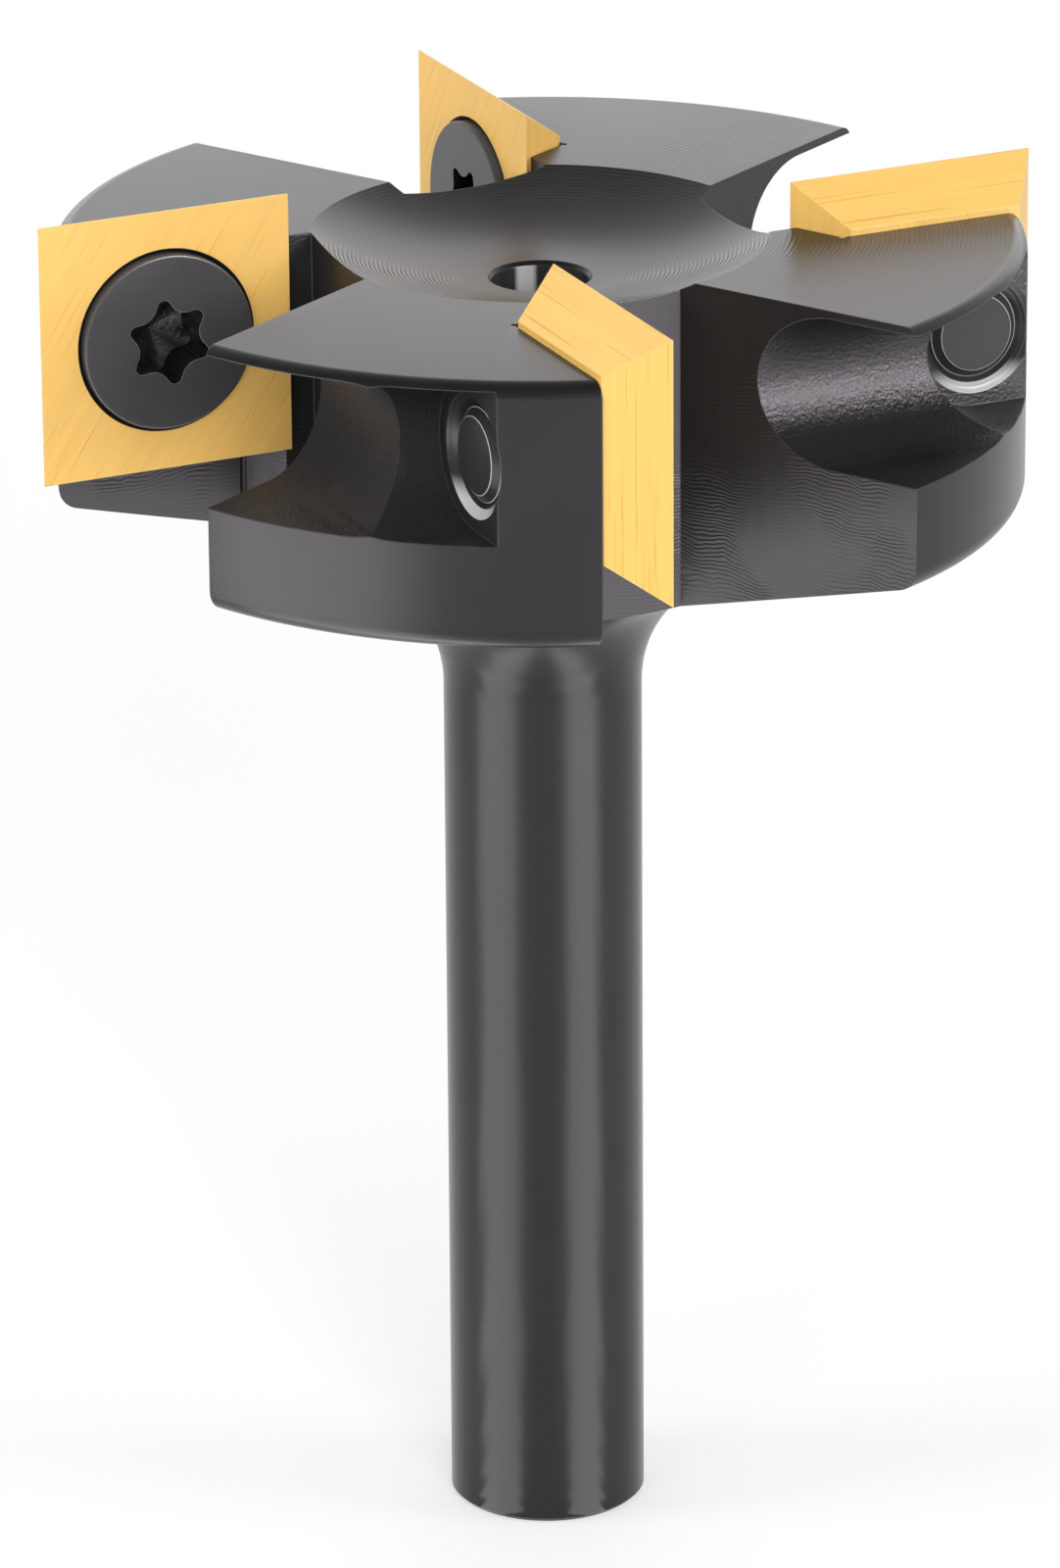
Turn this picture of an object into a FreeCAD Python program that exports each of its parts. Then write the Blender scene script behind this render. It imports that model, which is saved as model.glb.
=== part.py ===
# Surfacing router bit: a straight shank under a wide head with four square inserts.
# The bit stands on its shank end: z = 0 is the free end, +Z runs up the axis to the cutters.
# Seen from above the four wings point along +X, +Y, -X and -Y (wings 1 to 4).
# Each wing is drawn once in its own frame and then turned about the axis:
#   u is outward along the wing, n is the way the cutting face looks, z is up.
# The spindle turns the bit so that every cutting face moves the way it looks.
import FreeCAD
import Part
import math
import os

V = FreeCAD.Vector

# Driving sizes, in mm and degrees
wings = 4

# turned body
shank_dia = 12.7
shank_end_chamfer = 0.3
head_top_z = 86.5
head_rim_depth = 16.75
head_dia = 61.3
head_top_chamfer = 0.8
head_foot_chamfer = 0.9
underside_angle = 15.0
flare_radius = 8.7

# dish and centre hole in the top: the dish is part of a sphere about the axis
dish_dia = 29.0
dish_depth = 2.9
centre_hole_dia = 6.1
centre_hole_depth = 14.0
centre_hole_edge = 0.25
drill_point_angle = 118.0

# square insert, its corner past the head's rim and its face turned ahead of the axis
insert_side = 16.9
insert_thickness = 3.55
insert_relief = 35.0
insert_proud = 2.9
edge_overhang = 0.9
hook_angle = 10.5

# countersunk screw and its holes: the countersink is 90 degrees, the thread is M6
hole_mouth_dia = 11.8
thread_dia = 6.0
bore_clearance = 0.3
thread_clearance = 0.025
head_clearance = 0.12
head_proud = 0.55
screw_end_inset = 0.1
hole_exit_chamfer = 0.9

# six-lobe recess of the screw
lobe_across = 5.6
lobe_waist = 4.1
lobe_depth = 2.2
lobe_turn = 22.0
lobe_steps = 36

# gullet in front of an insert, and the small step that the insert's inner side lies along
core_wall_gap = 1.75
back_wall_angle = 30.0
back_wall_offset = 3.35
step_below_face = 0.45
step_gap_top = 0.07
step_gap_foot = 0.6
relief_groove_r = 0.5
relief_groove_shift = 0.25

# half-round channel and flat spot face behind an insert
channel_r = 4.87
lip_thickness = 0.53
channel_web = 8.5
screw_wall = 5.8

# Derived sizes
shank_r = shank_dia / 2.0
head_r = head_dia / 2.0
dish_r = dish_dia / 2.0
centre_hole_r = centre_hole_dia / 2.0
insert_top_z = head_top_z + insert_proud
edge_reach = head_r + edge_overhang
face_n = -edge_reach * math.tan(math.radians(hook_angle))
seat_n = face_n - insert_thickness
relief_slope = math.tan(math.radians(insert_relief))
relief_run = insert_thickness * relief_slope
insert_u = edge_reach - insert_side / 2.0
insert_z = insert_top_z - insert_side / 2.0
inner_u = edge_reach - insert_side
core_wall_u = inner_u - core_wall_gap
mouth_r = hole_mouth_dia / 2.0
thread_r = thread_dia / 2.0
bore_r = thread_r + bore_clearance
shaft_r = thread_r - thread_clearance
screw_head_r = mouth_r - head_clearance
spot_floor_n = seat_n - screw_wall
channel_n = seat_n - channel_web - channel_r
channel_z = head_top_z - lip_thickness - channel_r
past = 2.0 * head_dia


def line(a, b):
    return Part.makeLine(V(a[0], 0, a[1]), V(b[0], 0, b[1]))


def arc(a, mid, b):
    return Part.Arc(V(a[0], 0, a[1]), V(mid[0], 0, mid[1]), V(b[0], 0, b[1])).toShape()


def on_circle(centre, radius, degrees):
    t = math.radians(degrees)
    return (centre[0] + radius * math.cos(t), centre[1] + radius * math.sin(t))


def underside():
    """Shank, flare, conical underside and rim as edges from the free end to the top plane."""
    tilt = math.radians(underside_angle)
    rim_foot_z = head_top_z - head_rim_depth

    # large fillet, tangent to the shank and to the cone
    cone_at_axis = rim_foot_z - math.tan(tilt) * head_r
    flare_r = shank_r + flare_radius
    flare = (flare_r, cone_at_axis + math.tan(tilt) * flare_r - flare_radius / math.cos(tilt))
    flare_low = (shank_r, flare[1])
    flare_mid = on_circle(flare, flare_radius, 135.0 + underside_angle / 2.0)
    flare_high = on_circle(flare, flare_radius, 90.0 + underside_angle)

    end_r = shank_r - shank_end_chamfer
    foot_low = (head_r - head_foot_chamfer * math.cos(tilt),
                rim_foot_z - head_foot_chamfer * math.sin(tilt))
    foot_high = (head_r, rim_foot_z + head_foot_chamfer)
    top_low = (head_r, head_top_z - head_top_chamfer)
    top_high = (head_r - head_top_chamfer, head_top_z)
    return [
        line((0, 0), (end_r, 0)),
        line((end_r, 0), (shank_r, shank_end_chamfer)),
        line((shank_r, shank_end_chamfer), flare_low),
        arc(flare_low, flare_mid, flare_high),
        line(flare_high, foot_low),
        line(foot_low, foot_high),
        line(foot_high, top_low),
        line(top_low, top_high),
        line(top_high, (dish_r, head_top_z)),
    ]


def dish_and_hole():
    """Dish, centre hole and its drill point as edges from the dish's rim to the axis."""
    mouth = centre_hole_r + centre_hole_edge
    mouth_z = head_top_z - dish_depth
    edge_z = mouth_z - centre_hole_edge
    bottom_z = head_top_z - centre_hole_depth
    point_z = bottom_z - centre_hole_r / math.tan(math.radians(drill_point_angle / 2.0))

    # the sphere about the axis that goes through the dish's rim and the hole's mouth
    centre_above_rim = (dish_r ** 2 - mouth ** 2 - dish_depth ** 2) / (2.0 * dish_depth)
    sphere_r = math.hypot(dish_r, centre_above_rim)
    mid_r = (dish_r + mouth) / 2.0
    mid_z = head_top_z + centre_above_rim - math.sqrt(sphere_r ** 2 - mid_r ** 2)
    return [
        arc((dish_r, head_top_z), (mid_r, mid_z), (mouth, mouth_z)),
        line((mouth, mouth_z), (centre_hole_r, edge_z)),
        line((centre_hole_r, edge_z), (centre_hole_r, bottom_z)),
        line((centre_hole_r, bottom_z), (0, point_z)),
        line((0, point_z), (0, 0)),
    ]


def turned_blank():
    profile = Part.Face(Part.Wire(underside() + dish_and_hole()))
    return profile.revolve(V(0, 0, 0), V(0, 0, 1), 360.0)


def gullet():
    """The space in front of a cutting face, out to the next wing's sloping back wall."""
    angle = math.radians(back_wall_angle)

    def back_wall_n(u):
        return (u * math.sin(angle) - back_wall_offset) / math.cos(angle)

    step_n = face_n - step_below_face
    step_top_u = inner_u + step_below_face * relief_slope - step_gap_top
    step_foot_u = inner_u + relief_run - step_gap_foot
    plan = [
        (core_wall_u, step_n),
        (step_top_u, step_n),
        (step_foot_u, seat_n),
        (past, seat_n),
        (past, back_wall_n(past)),
        (core_wall_u, back_wall_n(core_wall_u)),
    ]
    corners = [V(u, n, 0) for u, n in plan + plan[:1]]
    space = Part.Face(Part.makePolygon(corners)).extrude(V(0, 0, past))
    groove = Part.makeCylinder(relief_groove_r, past,
                               V(step_foot_u + relief_groove_shift, seat_n, 0))
    return space.fuse(groove)


def back_channel():
    """Half-round groove along u behind the insert, open through the wing's tip."""
    round_side = Part.makeCylinder(channel_r, past, V(0, channel_n, channel_z), V(1, 0, 0))
    open_side = Part.makeBox(past, past, 2.0 * channel_r,
                             V(0, channel_n - past, channel_z - channel_r))
    return round_side.fuse(open_side)


def spot_face():
    """Slot with a round inner end at the screw; its flat floor is where the screw shows."""
    end = Part.makeCylinder(channel_r, past, V(insert_u, spot_floor_n, channel_z), V(0, -1, 0))
    run = Part.makeBox(past, past, 2.0 * channel_r,
                       V(insert_u, spot_floor_n - past, channel_z - channel_r))
    return end.fuse(run)


def tapped_hole():
    bore = Part.makeCylinder(thread_r, screw_wall, V(insert_u, seat_n, insert_z), V(0, -1, 0))
    exit_cone = Part.makeCone(thread_r, thread_r + hole_exit_chamfer, hole_exit_chamfer,
                              V(insert_u, spot_floor_n + hole_exit_chamfer, insert_z),
                              V(0, -1, 0))
    return bore.fuse(exit_cone)


def body():
    solid = turned_blank()
    for cut in (gullet(), back_channel(), spot_face(), tapped_hole()):
        for index in range(wings):
            solid = solid.cut(on_wing(cut, index))
    return solid


def turned_about_screw(profile):
    """Turn a profile of (radius, n) points once about the screw axis."""
    corners = [V(insert_u + r, n, insert_z) for r, n in profile + profile[:1]]
    face = Part.Face(Part.makePolygon(corners))
    return face.revolve(V(insert_u, 0, insert_z), V(0, 1, 0), 360.0)


def insert():
    """Square block with relief on all four sides and a countersunk hole."""
    half = insert_side / 2.0
    foot = half - relief_run
    block = Part.makeWedge(insert_u - foot, seat_n, insert_z - foot, insert_z - half, insert_u - half,
                           insert_u + foot, face_n, insert_z + foot, insert_z + half, insert_u + half)
    hole = turned_about_screw([
        (0, face_n),
        (mouth_r, face_n),
        (bore_r, face_n - (mouth_r - bore_r)),
        (bore_r, seat_n),
        (0, seat_n),
    ])
    return block.cut(hole)


def six_lobe():
    """Six-lobe recess with rounded lobes and waists."""
    mean = (lobe_across + lobe_waist) / 4.0
    swing = (lobe_across - lobe_waist) / 4.0
    floor_n = face_n + head_proud - lobe_depth
    corners = []
    for step in range(lobe_steps + 1):
        t = 2.0 * math.pi * (step % lobe_steps) / lobe_steps
        r = mean + swing * math.cos(6.0 * (t - math.radians(lobe_turn)))
        corners.append(V(insert_u + r * math.cos(t), floor_n, insert_z + r * math.sin(t)))
    return Part.Face(Part.makePolygon(corners)).extrude(V(0, lobe_depth, 0))


def screw():
    """Countersunk screw with a plain shaft: its cone lies on the insert's own."""
    top_n = face_n + head_proud
    land_n = face_n - head_clearance
    end_n = spot_floor_n + screw_end_inset
    solid = turned_about_screw([
        (0, top_n),
        (screw_head_r, top_n),
        (screw_head_r, land_n),
        (shaft_r, land_n - (screw_head_r - shaft_r)),
        (shaft_r, end_n),
        (0, end_n),
    ])
    return solid.cut(six_lobe())


def on_wing(shape, index):
    """A wing-frame shape turned to wing index + 1."""
    turned = shape.copy()
    turned.rotate(V(0, 0, 0), V(0, 0, 1), 360.0 / wings * index)
    return turned


def pieces():
    yield "cutter_body", body()
    for index in range(wings):
        yield "insert_%d" % (index + 1), on_wing(insert(), index)
        yield "insert_screw_%d" % (index + 1), on_wing(screw(), index)


os.makedirs("parts", exist_ok=True)
for name, shape in pieces():
    if len(shape.Solids) != 1:
        raise ValueError(name + " isn't one solid")
    shape.Solids[0].exportStep("parts/" + name + ".step")
    print(name, "volume mm3", round(shape.Volume, 1), "valid", shape.isValid())
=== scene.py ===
# %% [markdown]
# # A surfacing router bit
# The real object is a turned and milled steel body with four square carbide inserts. Each
# insert is held by one countersunk screw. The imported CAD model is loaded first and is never
# moved: every piece made here is drawn in the same frame, so it needs no fitting.

# %% Load the frame
import math

import bmesh
import bpy
import numpy as np
from mathutils import Matrix, Vector


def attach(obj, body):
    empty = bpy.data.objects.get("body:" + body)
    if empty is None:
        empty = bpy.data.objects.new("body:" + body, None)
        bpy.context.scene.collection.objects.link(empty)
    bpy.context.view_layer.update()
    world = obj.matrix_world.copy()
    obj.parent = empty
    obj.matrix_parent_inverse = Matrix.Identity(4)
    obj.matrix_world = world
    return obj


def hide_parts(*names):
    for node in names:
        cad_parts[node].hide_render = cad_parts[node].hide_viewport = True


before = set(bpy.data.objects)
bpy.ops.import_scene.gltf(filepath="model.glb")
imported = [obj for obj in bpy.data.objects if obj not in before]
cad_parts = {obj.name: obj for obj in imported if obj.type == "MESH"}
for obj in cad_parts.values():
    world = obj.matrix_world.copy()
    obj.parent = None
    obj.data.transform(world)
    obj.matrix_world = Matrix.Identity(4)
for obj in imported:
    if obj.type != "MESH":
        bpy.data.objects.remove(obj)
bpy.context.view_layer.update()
print("nodes:", sorted(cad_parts))

# %% [markdown]
# The pieces are drawn in millimetres and scaled to metres when each mesh is finished. The
# sizes below repeat those of the CAD source. A wing has its own frame: u runs outward, n is
# the way its cutting face looks, and z is up.

# %% Sizes in millimetres
MM = 0.001
WINGS = 4

SHANK_R = 6.35
SHANK_END_CHAMFER = 0.3
HEAD_R = 30.65
HEAD_TOP = 86.5
RIM_FOOT = 69.75
UNDERSIDE = math.radians(15.0)
FLARE_R = 8.7
TOP_FILLET = 1.0
FOOT_FILLET = 1.5
DISH_R = 14.5
DISH_DEPTH = 2.9
HOLE_R = 3.05
HOLE_MOUTH = 0.25
HOLE_FLOOR = 72.5
HALF_DRILL_POINT = math.radians(59.0)

INSERT_SIDE = 16.9
INSERT_THICK = 3.55
INSERT_RELIEF = math.tan(math.radians(35.0))
INSERT_PROUD = 2.9
EDGE_OVERHANG = 0.9
HOOK = math.radians(10.5)
EDGE_REACH = HEAD_R + EDGE_OVERHANG
INSERT_TOP = HEAD_TOP + INSERT_PROUD
FACE_N = -EDGE_REACH * math.tan(HOOK)
SEAT_N = FACE_N - INSERT_THICK
INSERT_U = EDGE_REACH - INSERT_SIDE / 2
INSERT_Z = INSERT_TOP - INSERT_SIDE / 2
INNER_U = EDGE_REACH - INSERT_SIDE
MOUTH_R = 5.9
BORE_R = 3.3

HEAD_CLEARANCE = 0.12
HEAD_PROUD = 0.55
SCREW_WALL = 5.8
SCREW_END_INSET = 0.1
SCREW_HEAD_R = MOUTH_R - HEAD_CLEARANCE
SCREW_TOP = FACE_N + HEAD_PROUD
SHAFT_R = 2.975
SPOT_N = SEAT_N - SCREW_WALL
THREAD_R = 3.0
EXIT_CHAMFER = 0.9
RECESS_DEPTH = 2.9
RECESS_CONE = 0.6

CHANNEL_R = 4.87
CHANNEL_WEB = 8.5
LIP = 0.53
CHANNEL_N = SEAT_N - CHANNEL_WEB - CHANNEL_R
CHANNEL_Z = HEAD_TOP - LIP - CHANNEL_R
CORE_GAP = 1.75
CORE_U = INNER_U - CORE_GAP
STEP_BELOW = 0.45
STEP_N = FACE_N - STEP_BELOW
STEP_GAP_TOP = 0.07
STEP_GAP_FOOT = 0.6
GROOVE_R = 0.2
BACK_WALL = math.radians(30.0)
BACK_OFFSET = 3.35

# how far the cutters run, so that they end outside the body
PAST = 45.0
BELOW, ABOVE = -1.0, 100.0

# %% [markdown]
# ## Materials
# A photograph of a plain machine part is mostly tool marks and worn edges. Each effect that
# more than one material uses is a node group with named inputs, built once.

# %% Helpers for node groups


def new_group(name, inputs, outputs):
    group = bpy.data.node_groups.new(name, "ShaderNodeTree")
    for label, kind, value in inputs:
        socket = group.interface.new_socket(name=label, in_out="INPUT", socket_type=kind)
        if value is not None:
            socket.default_value = value
    for label, kind in outputs:
        group.interface.new_socket(name=label, in_out="OUTPUT", socket_type=kind)
    return group, group.nodes.new("NodeGroupInput"), group.nodes.new("NodeGroupOutput")


def add(tree, kind, **values):
    """A node, with its settings and the values of its sockets, given by name or number."""
    node = tree.nodes.new(kind)
    for key, value in values.items():
        if hasattr(node, key):
            setattr(node, key, value)
        else:
            by_number = key[0] == "i" and key[1:].isdigit()
            node.inputs[int(key[1:]) if by_number else key].default_value = value
    return node


def feed(tree, socket, value):
    """Give a socket a number or a colour, or link an output to it."""
    if isinstance(value, (int, float, tuple)):
        socket.default_value = value
    else:
        tree.links.new(value, socket)


def math_node(tree, operation, a, b=None, clamp=False):
    node = tree.nodes.new("ShaderNodeMath")
    node.operation = operation
    node.use_clamp = clamp
    feed(tree, node.inputs[0], a)
    if b is not None:
        feed(tree, node.inputs[1], b)
    return node.outputs[0]


def map_range(tree, value, low, high, to_low, to_high, smooth=False):
    node = tree.nodes.new("ShaderNodeMapRange")
    if smooth:
        node.interpolation_type = "SMOOTHSTEP"
    tree.links.new(value, node.inputs["Value"])
    ends = {"From Min": low, "From Max": high, "To Min": to_low, "To Max": to_high}
    for label, number in ends.items():
        feed(tree, node.inputs[label], number)
    return node.outputs["Result"]


def mix_color(tree, factor, a, b, blend="MIX"):
    node = tree.nodes.new("ShaderNodeMix")
    node.data_type = "RGBA"
    node.blend_type = blend
    # in RGBA mode the factor is socket 0, the colours are 6 and 7, and the result is output 2
    for slot, value in ((0, factor), (6, a), (7, b)):
        feed(tree, node.inputs[slot], value)
    return node.outputs[2]


print("helpers: new_group, add, feed, math_node, map_range, mix_color")


# %% [markdown]
# Edge wear. The Bevel node looks round the surface and returns a normal that is softened
# near an edge. Where it differs from the true normal there is an edge, and that difference
# is a mask for the worn, brighter line that handling leaves there.

# %% Edge wear group
edge_wear, g_in, g_out = new_group(
    "edge wear",
    [("Radius", "NodeSocketFloat", 0.00012), ("Patchiness", "NodeSocketFloat", 0.4)],
    [("Wear", "NodeSocketFloat"), ("Soft Normal", "NodeSocketVector")],
)
bevel = edge_wear.nodes.new("ShaderNodeBevel")
bevel.samples = 6
edge_wear.links.new(g_in.outputs["Radius"], bevel.inputs["Radius"])
geometry = edge_wear.nodes.new("ShaderNodeNewGeometry")
dot = edge_wear.nodes.new("ShaderNodeVectorMath")
dot.operation = "DOT_PRODUCT"
edge_wear.links.new(bevel.outputs[0], dot.inputs[0])
edge_wear.links.new(geometry.outputs["Normal"], dot.inputs[1])
edge = map_range(edge_wear, dot.outputs["Value"], 0.995, 0.80, 0.0, 1.0)
coords = edge_wear.nodes.new("ShaderNodeTexCoord")
patch = add(edge_wear, "ShaderNodeTexNoise", Scale=900.0, Detail=3.0)
edge_wear.links.new(coords.outputs["Object"], patch.inputs["Vector"])
patch_mask = map_range(edge_wear, patch.outputs["Fac"], 0.35, 0.62, 0.0, 1.0)
thinned = math_node(edge_wear, "MULTIPLY", patch_mask, g_in.outputs["Patchiness"])
kept = math_node(edge_wear, "SUBTRACT", 1.0, thinned)
edge_wear.links.new(math_node(edge_wear, "MULTIPLY", edge, kept, True), g_out.inputs["Wear"])
edge_wear.links.new(bevel.outputs[0], g_out.inputs["Soft Normal"])
print("group:", edge_wear.name)

# %% [markdown]
# Grain. Blackened steel isn't one even tone: it has a fine sandy grain and broad soft
# clouds. The group returns both: the grain goes into a finish's height, roughness and
# colour, and the clouds go into its colour.

# %% Grain group
grain, g_in, g_out = new_group(
    "metal grain",
    [("Fine Scale", "NodeSocketFloat", 6000.0), ("Cloud Scale", "NodeSocketFloat", 120.0)],
    [("Grain", "NodeSocketFloat"), ("Clouds", "NodeSocketFloat")],
)
coords = grain.nodes.new("ShaderNodeTexCoord")
fine = add(grain, "ShaderNodeTexNoise", Detail=4.0, Roughness=0.6)
cloud = add(grain, "ShaderNodeTexNoise", Detail=3.0, Roughness=0.55)
grain.links.new(coords.outputs["Object"], fine.inputs["Vector"])
grain.links.new(coords.outputs["Object"], cloud.inputs["Vector"])
grain.links.new(g_in.outputs["Fine Scale"], fine.inputs["Scale"])
grain.links.new(g_in.outputs["Cloud Scale"], cloud.inputs["Scale"])
grain.links.new(fine.outputs["Fac"], g_out.inputs["Grain"])
grain.links.new(cloud.outputs["Fac"], g_out.inputs["Clouds"])
print("group:", grain.name)

# %% [markdown]
# Turned marks. A lathe tool leaves one fine spiral, which looks like rings about the axis.
# The distance from the axis drives a sine wave, which fades in between two radii. The rings
# are deepest where the cosine of the angle from Side is near Lean, and fade to Elsewhere.

# %% Turned marks group
turned_marks, g_in, g_out = new_group(
    "turned marks",
    [
        ("Pitch", "NodeSocketFloat", 0.0002),
        ("Fade From", "NodeSocketFloat", 0.0),
        ("Fade To", "NodeSocketFloat", 0.001),
        ("Side", "NodeSocketVector", (1.0, 0.0, 0.0)),
        ("Lean", "NodeSocketFloat", 1.0),
        ("Elsewhere", "NodeSocketFloat", 0.3),
    ],
    [("Rings", "NodeSocketFloat")],
)
coords = turned_marks.nodes.new("ShaderNodeTexCoord")
split = turned_marks.nodes.new("ShaderNodeSeparateXYZ")
turned_marks.links.new(coords.outputs["Object"], split.inputs[0])
xx = math_node(turned_marks, "MULTIPLY", split.outputs["X"], split.outputs["X"])
yy = math_node(turned_marks, "MULTIPLY", split.outputs["Y"], split.outputs["Y"])
radius = math_node(turned_marks, "SQRT", math_node(turned_marks, "ADD", xx, yy))
jitter = add(turned_marks, "ShaderNodeTexNoise", Scale=350.0, Detail=2.0)
turned_marks.links.new(coords.outputs["Object"], jitter.inputs["Vector"])
wobble = math_node(turned_marks, "MULTIPLY", jitter.outputs["Fac"], 0.00025)
run = math_node(turned_marks, "ADD", radius, wobble)
turns = math_node(turned_marks, "DIVIDE", run, g_in.outputs["Pitch"])
wave = math_node(turned_marks, "SINE", math_node(turned_marks, "MULTIPLY", turns, 2 * math.pi))
fade = map_range(turned_marks, radius, g_in.outputs["Fade From"], g_in.outputs["Fade To"], 0.0, 1.0)
toward_side = add(turned_marks, "ShaderNodeVectorMath", operation="DOT_PRODUCT")
turned_marks.links.new(coords.outputs["Object"], toward_side.inputs[0])
turned_marks.links.new(g_in.outputs["Side"], toward_side.inputs[1])
cosine = math_node(turned_marks, "DIVIDE", toward_side.outputs["Value"], radius)
off_lean = math_node(turned_marks, "ABSOLUTE",
                     math_node(turned_marks, "SUBTRACT", cosine, g_in.outputs["Lean"]))
shake = map_range(turned_marks, off_lean, 0.15, 0.5, 1.0, g_in.outputs["Elsewhere"], smooth=True)
depth = math_node(turned_marks, "MULTIPLY", fade, shake)
turned_marks.links.new(math_node(turned_marks, "MULTIPLY", wave, depth), g_out.inputs["Rings"])
print("group:", turned_marks.name)

# %% [markdown]
# Ground lines. A grinding wheel leaves fine straight scratches of many lengths. A noise
# texture that is stretched along the wheel's path gives them.

# %% Ground lines group
ground_lines, g_in, g_out = new_group(
    "ground lines",
    [
        ("Turn", "NodeSocketVector", (0.0, 0.0, 0.0)),
        ("Fineness", "NodeSocketFloat", 5000.0),
        ("Length", "NodeSocketFloat", 0.02),
    ],
    [("Lines", "NodeSocketFloat"), ("Streaks", "NodeSocketFloat")],
)
coords = ground_lines.nodes.new("ShaderNodeTexCoord")
turn = ground_lines.nodes.new("ShaderNodeMapping")
turn.vector_type = "TEXTURE"
ground_lines.links.new(coords.outputs["Object"], turn.inputs["Vector"])
ground_lines.links.new(g_in.outputs["Turn"], turn.inputs["Rotation"])
split = ground_lines.nodes.new("ShaderNodeSeparateXYZ")
ground_lines.links.new(turn.outputs[0], split.inputs[0])
along = math_node(ground_lines, "MULTIPLY", split.outputs["X"], g_in.outputs["Length"])
join = ground_lines.nodes.new("ShaderNodeCombineXYZ")
ground_lines.links.new(along, join.inputs["X"])
ground_lines.links.new(split.outputs["Y"], join.inputs["Y"])
ground_lines.links.new(split.outputs["Z"], join.inputs["Z"])
lines = add(ground_lines, "ShaderNodeTexNoise", Detail=3.0, Roughness=0.65)
ground_lines.links.new(join.outputs[0], lines.inputs["Vector"])
ground_lines.links.new(g_in.outputs["Fineness"], lines.inputs["Scale"])
broad = add(ground_lines, "ShaderNodeTexNoise", Detail=2.0, Roughness=0.5)
ground_lines.links.new(join.outputs[0], broad.inputs["Vector"])
broad_scale = math_node(ground_lines, "MULTIPLY", g_in.outputs["Fineness"], 0.22)
ground_lines.links.new(broad_scale, broad.inputs["Scale"])
ground_lines.links.new(lines.outputs["Fac"], g_out.inputs["Lines"])
ground_lines.links.new(broad.outputs["Fac"], g_out.inputs["Streaks"])
print("group:", ground_lines.name)

# %% [markdown]
# Mill marks. The side of an end mill leaves shallow ripples that run level and come in
# patches where the cutter shook.

# %% Mill marks group
mill_marks, g_in, g_out = new_group(
    "mill marks", [("Pitch", "NodeSocketFloat", 0.0003)], [("Ripples", "NodeSocketFloat")])
coords = mill_marks.nodes.new("ShaderNodeTexCoord")
split = mill_marks.nodes.new("ShaderNodeSeparateXYZ")
mill_marks.links.new(coords.outputs["Object"], split.inputs[0])
drift = add(mill_marks, "ShaderNodeTexNoise", Scale=260.0, Detail=3.0)
mill_marks.links.new(coords.outputs["Object"], drift.inputs["Vector"])
level = math_node(mill_marks, "ADD", split.outputs["Z"],
                  math_node(mill_marks, "MULTIPLY", drift.outputs["Fac"], 0.002))
turns = math_node(mill_marks, "DIVIDE", level, g_in.outputs["Pitch"])
wave = math_node(mill_marks, "SINE", math_node(mill_marks, "MULTIPLY", turns, 2 * math.pi))
patch = add(mill_marks, "ShaderNodeTexNoise", Scale=140.0, Detail=2.0)
mill_marks.links.new(coords.outputs["Object"], patch.inputs["Vector"])
patch_mask = map_range(mill_marks, patch.outputs["Fac"], 0.42, 0.6, 0.1, 1.0, smooth=True)
mill_marks.links.new(math_node(mill_marks, "MULTIPLY", wave, patch_mask), g_out.inputs["Ripples"])
print("group:", mill_marks.name)

# %% [markdown]
# Each finish is one Principled BSDF. Its own numbers stay on its sockets, and the groups
# only feed Base Color, Roughness and Normal.

# %% Blackened steel


def place(tree, group, **values):
    """A node that uses a group. An underscore in a name stands for a space."""
    node = tree.nodes.new("ShaderNodeGroup")
    node.node_tree = group
    for key, value in values.items():
        node.inputs[key.replace("_", " ")].default_value = value
    return node


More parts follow.
